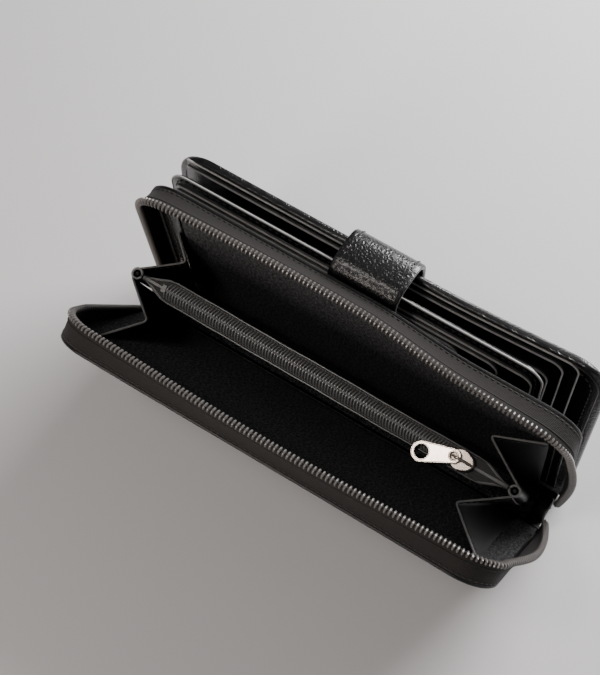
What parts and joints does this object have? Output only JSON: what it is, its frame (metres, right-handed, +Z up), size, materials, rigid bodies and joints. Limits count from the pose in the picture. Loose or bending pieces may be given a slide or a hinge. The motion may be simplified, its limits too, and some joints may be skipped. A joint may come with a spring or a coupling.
{
  "type": "long wallet",
  "caption": "Standing long wallet with an unzipped gusseted compartment, a zipped coin divider, a card page and a rear cover closed by a strap and snap.",
  "frame": {"origin": "on the ground under the middle of the spine's zip-compartment part", "axes": "+X along the wallet, +Y towards the rear cover, +Z up"},
  "size_m": [0.1934, 0.0952, 0.099],
  "materials": {
    "smooth_leather": "semi-matte black",
    "pebbled_leather": "glossy pebbled black",
    "lining_cloth": "matte brushed charcoal",
    "zip_tape": "woven black",
    "zip_coil": "satin nylon",
    "board": "pressed fibre board",
    "metal": "pale rose-gold plate"
  },
  "bodies": {
    "standing_half": {"spine_leather": "smooth_leather", "spine_lining": "lining_cloth", "middle_wall_leather": "smooth_leather", "middle_wall_board": "board", "middle_wall_lining": "lining_cloth", "rear_zip_tape": "zip_tape", "rear_zip_coil": "zip_coil", "strap_anchor": "pebbled_leather", "zip_end_tab": "zip_tape", "outer_slider_body": "metal", "outer_slider_bail": "metal", "gusset_left_rear": "smooth_leather", "gusset_right_rear": "smooth_leather"},
    "front_wall": {"front_wall_leather": "smooth_leather", "front_wall_board": "board", "front_wall_lining": "lining_cloth", "front_zip_tape": "zip_tape", "front_zip_coil": "zip_coil", "gusset_left_front": "smooth_leather", "gusset_right_front": "smooth_leather"},
    "divider": {"coin_pocket_front_wall": "lining_cloth", "coin_pocket_rear_wall": "lining_cloth", "left_end_loop": "smooth_leather", "right_end_loop": "smooth_leather", "coin_zip_front_tape": "zip_tape", "coin_zip_rear_tape": "zip_tape", "coin_zip_coil": "zip_coil", "coin_zip_bottom_stop": "metal", "coin_zip_top_stop": "metal"},
    "coin_slider": {"coin_slider_body": "metal", "coin_slider_bail": "metal"},
    "coin_pull": {"coin_pull_tab": "metal"},
    "outer_pull": {"outer_pull_tab": "metal"},
    "page": {"card_page": "smooth_leather", "page_leaf_1": "smooth_leather", "page_leaf_2": "smooth_leather", "page_leaf_3": "smooth_leather"},
    "rear_cover": {"rear_cover_lining": "lining_cloth", "rear_cover_board": "board", "rear_cover_leather": "pebbled_leather", "cover_leaf_1": "smooth_leather", "cover_leaf_2": "smooth_leather", "cover_leaf_3": "smooth_leather", "snap_post": "metal", "snap_stud": "metal"},
    "strap": {"strap_lining": "smooth_leather", "strap_outer": "pebbled_leather", "snap_cap": "metal", "snap_socket": "metal"}
  },
  "joints": [
    {"name": "compartment_swing", "type": "hinge", "parent": "standing_half", "child": "divider", "pos_m": [0, -0.0105, 0.0034], "axis": [1, 0, 0], "range_deg": [-14.7, 8], "deforming": ["gusset_left_rear", "gusset_right_rear"]},
    {"name": "front_wall_fold", "type": "hinge", "parent": "divider", "child": "front_wall", "pos_m": [0, -0.0105, 0.0034], "axis": [1, 0, 0], "range_deg": [-14.7, 8], "deforming": ["gusset_left_front", "gusset_right_front"]},
    {"name": "coin_zip_slide", "type": "slide", "parent": "divider", "child": "coin_slider", "axis": [1, 0, 0], "range_m": [-0.118, 0.003]},
    {"name": "coin_pull_lift", "type": "hinge", "parent": "coin_slider", "child": "coin_pull", "pos_m": [0.05982, -0.02375, 0.06152], "axis": [-0.3665, 0.8639, 0.3455], "range_deg": [0, 70]},
    {"name": "outer_pull_drop", "type": "hinge", "parent": "standing_half", "child": "outer_pull", "pos_m": [-0.0972, -0.001, 0.0082], "axis": [0, 1, 0], "range_deg": [-95, 0]},
    {"name": "cover_open", "type": "hinge", "parent": "standing_half", "child": "rear_cover", "pos_m": [0, 0.0205, 0.0034], "axis": [1, 0, 0], "range_deg": [-60, 0]},
    {"name": "page_turn", "type": "hinge", "parent": "standing_half", "child": "page", "pos_m": [0, 0.0139, 0.0034], "axis": [1, 0, 0], "range_deg": [-30, 0]},
    {"name": "strap_swing", "type": "hinge", "parent": "standing_half", "child": "strap", "pos_m": [0, 0.0028, 0.0906], "axis": [1, 0, 0], "range_deg": [0, 108], "deforming": ["strap_lining", "strap_outer", "snap_cap", "snap_socket"]}
  ],
  "couplings": [
    {"joint": "front_wall_fold", "follows": "compartment_swing", "ratio": 1},
    {"joint": "page_turn", "follows": "cover_open", "ratio": 0.5},
    {"joint": "strap_swing", "follows": "cover_open", "ratio": -1.8}
  ]
}
